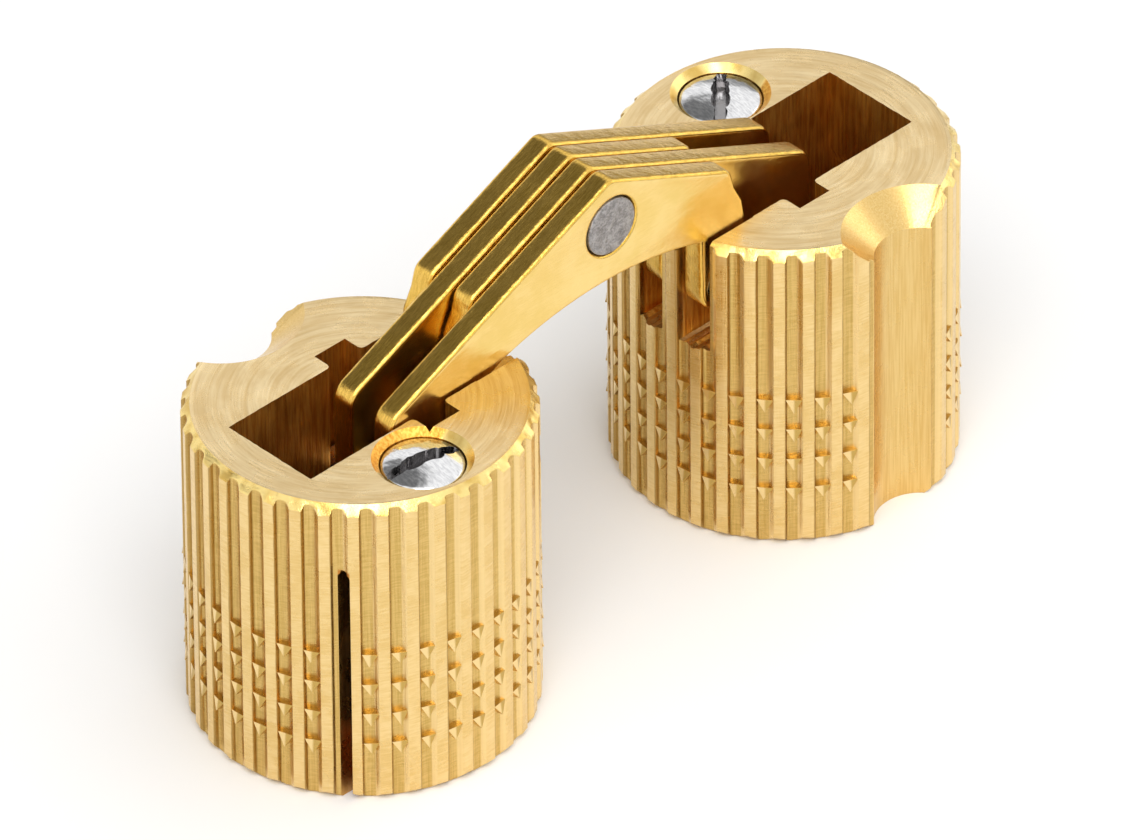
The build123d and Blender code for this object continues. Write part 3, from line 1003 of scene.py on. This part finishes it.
# painted shade for the slit's walls
SLIT_SHADE = (0.50, 0.20, 0.04)
POCKET_DARK, POCKET_LIGHT = (0.72, 0.32, 0.04), (0.98, 0.58, 0.12)
FACE_DARK, FACE_LIGHT = (0.84, 0.59, 0.18), (0.93, 0.68, 0.26)
EDGE_DARK, EDGE_LIGHT = (0.66, 0.40, 0.07), (0.90, 0.58, 0.13)
RIVET_DARK, RIVET_LIGHT = (0.22, 0.21, 0.205), (0.47, 0.45, 0.445)
PIN_DARK, PIN_LIGHT = (0.42, 0.41, 0.40), (0.60, 0.59, 0.57)
PLATED_DARK, PLATED_LIGHT = (0.66, 0.66, 0.67), (0.86, 0.86, 0.86)
# painted shade down in the screw slot
SLOT_SHADE = (0.30, 0.29, 0.29)

MATERIALS = {"barrel": barrel_material(), "barb": barb_material(), "link": link_material(),
             "rivet": rivet_material(), "pin": pin_material(), "screw": screw_material()}


# ---- camera, floor and light ------------------------------------------------------------------------
def make_camera():
    """Camera at the photograph's viewing angle, far away with a long lens."""
    azimuth, elevation = math.radians(VIEW_AZIMUTH), math.radians(VIEW_ELEVATION)
    back = Vector((math.sin(azimuth) * math.cos(elevation), -math.cos(azimuth) * math.cos(elevation),
                   math.sin(elevation)))
    right = Vector((math.cos(azimuth), math.sin(azimuth), 0))
    up = back.cross(right)
    target = Vector((0, 0, BARREL_H * MM)) - right * AIM_LEFT * MM - up * AIM_DOWN * MM
    data = bpy.data.cameras.new("camera")
    data.lens = VIEW_LENS
    data.sensor_width = 36
    data.clip_start = 0.05
    data.clip_end = 20
    camera = add_object("camera", data)
    spin = Matrix((right, up, back)).transposed() @ Matrix.Rotation(math.radians(VIEW_ROLL), 3, "Z")
    camera.matrix_world = Matrix.Translation(target + back * VIEW_DISTANCE) @ spin.to_4x4()
    bpy.context.scene.camera = camera


def make_floor():
    """Plain pale floor, a hair below the part so that the faces don't coincide."""
    mesh = bpy.data.meshes.new("floor")
    mesh.from_pydata([(x, y, 0) for x, y in rectangle(-2.0, 2.0, -2.0, 2.0)], [], [(0, 1, 2, 3)])
    floor = add_object("floor", mesh)
    floor.location.z = -0.02 * MM
    material = bpy.data.materials.new("pale_floor")
    material.use_nodes = True
    shader = material.node_tree.nodes["Principled BSDF"]
    shader.inputs["Base Color"].default_value = (0.93, 0.93, 0.93, 1)
    shader.inputs["Roughness"].default_value = 0.95
    mesh.materials.append(material)


def area_light(name, position, size, power):
    """Soft square light aimed at the hinge."""
    data = bpy.data.lights.new(name, "AREA")
    data.size = size
    data.energy = power
    lamp = add_object(name, data)
    lamp.location = position
    lamp.rotation_euler = (Vector((0, 0, 0.02)) - Vector(position)).to_track_quat("-Z", "Y").to_euler()


def dim_part(tree, direction, near, far, low):
    """Share of light round a direction: low inside, 1 outside, between two cosines."""
    coords = tree.nodes.new("ShaderNodeTexCoord")
    toward = tree.nodes.new("ShaderNodeVectorMath")
    toward.operation = "DOT_PRODUCT"
    toward.inputs[1].default_value = Vector(direction).normalized()
    shade = tree.nodes.new("ShaderNodeMapRange")
    shade.interpolation_type = "SMOOTHSTEP"
    for key, value in (("From Min", far), ("From Max", near), ("To Min", 1.0), ("To Max", low)):
        shade.inputs[key].default_value = value
    tree.links.new(coords.outputs["Generated"], toward.inputs[0])
    tree.links.new(toward.outputs["Value"], shade.inputs["Value"])
    return shade.outputs[0]


def make_world():
    """Pale surround, dimmer high up behind the hinge and low down to its right."""
    world = bpy.data.worlds.new("studio")
    bpy.context.scene.world = world
    world.use_nodes = True
    tree = world.node_tree
    high = dim_part(tree, (-0.12, 0.55, 0.82), 0.92, 0.78, 0.18)
    low = dim_part(tree, (0.82, 0.57, -0.05), 0.93, 0.84, 0.35)
    both = tree.nodes.new("ShaderNodeMath")
    both.operation = "MULTIPLY"
    tree.links.new(high, both.inputs[0])
    tree.links.new(low, both.inputs[1])
    strength = tree.nodes.new("ShaderNodeMath")
    strength.operation = "MULTIPLY"
    strength.inputs[1].default_value = 1.1
    tree.links.new(both.outputs[0], strength.inputs[0])
    background = tree.nodes["Background"]
    background.inputs["Color"].default_value = (1, 1, 1, 1)
    tree.links.new(strength.outputs[0], background.inputs["Strength"])


# ---- assembly ---------------------------------------------------------------------------------------
# Side, placement, turn of the screw's slot in degrees, and the body that the slide pin rides on
SIDES = (("left", LEFT, -10.0, "link_a"), ("right", RIGHT, 45.0, "link_b"))

for side, matrix, slot_turn, rider in SIDES:
    make_barrel(side, matrix)
    make_barbs(side, matrix)
    make_screw(side, matrix, slot_turn)
    at_pivot = matrix @ Matrix.Translation((PIVOT_X, 0, PIVOT_Z))
    make_pin(f"{side}_pivot_pin", f"{side}_barrel", PIVOT_PIN_R, SIDE_PIN_L, PIN_EDGE, at_pivot, "pin")
    at_slide = matrix @ Matrix.Translation((OPEN_SLIDE[0], 0, OPEN_SLIDE[1]))
    make_pin(f"{side}_slide_pin", rider, SLIDE_PIN_R, SIDE_PIN_L, PIN_EDGE, at_slide, "pin")

make_plate("link_a_outer", "link_a", -1.5, 1)
make_plate("link_b_inner", "link_b", -0.5, -1)
make_plate("link_a_inner", "link_a", 0.5, 1)
make_plate("link_b_outer", "link_b", 1.5, -1)
at_apex = Matrix.Translation((0, 0, BARREL_H + APEX_Z))
make_pin("centre_rivet", "link_a", RIVET_R, RIVET_L, RIVET_EDGE, at_apex, "rivet")

make_camera()
make_floor()
make_world()
area_light("key", (-0.29, -0.31, 0.57), 0.4, 2.0)
area_light("rim", (0.75, -0.25, 0.35), 0.4, 0.4)
bpy.context.scene.view_settings.view_transform = "Standard"
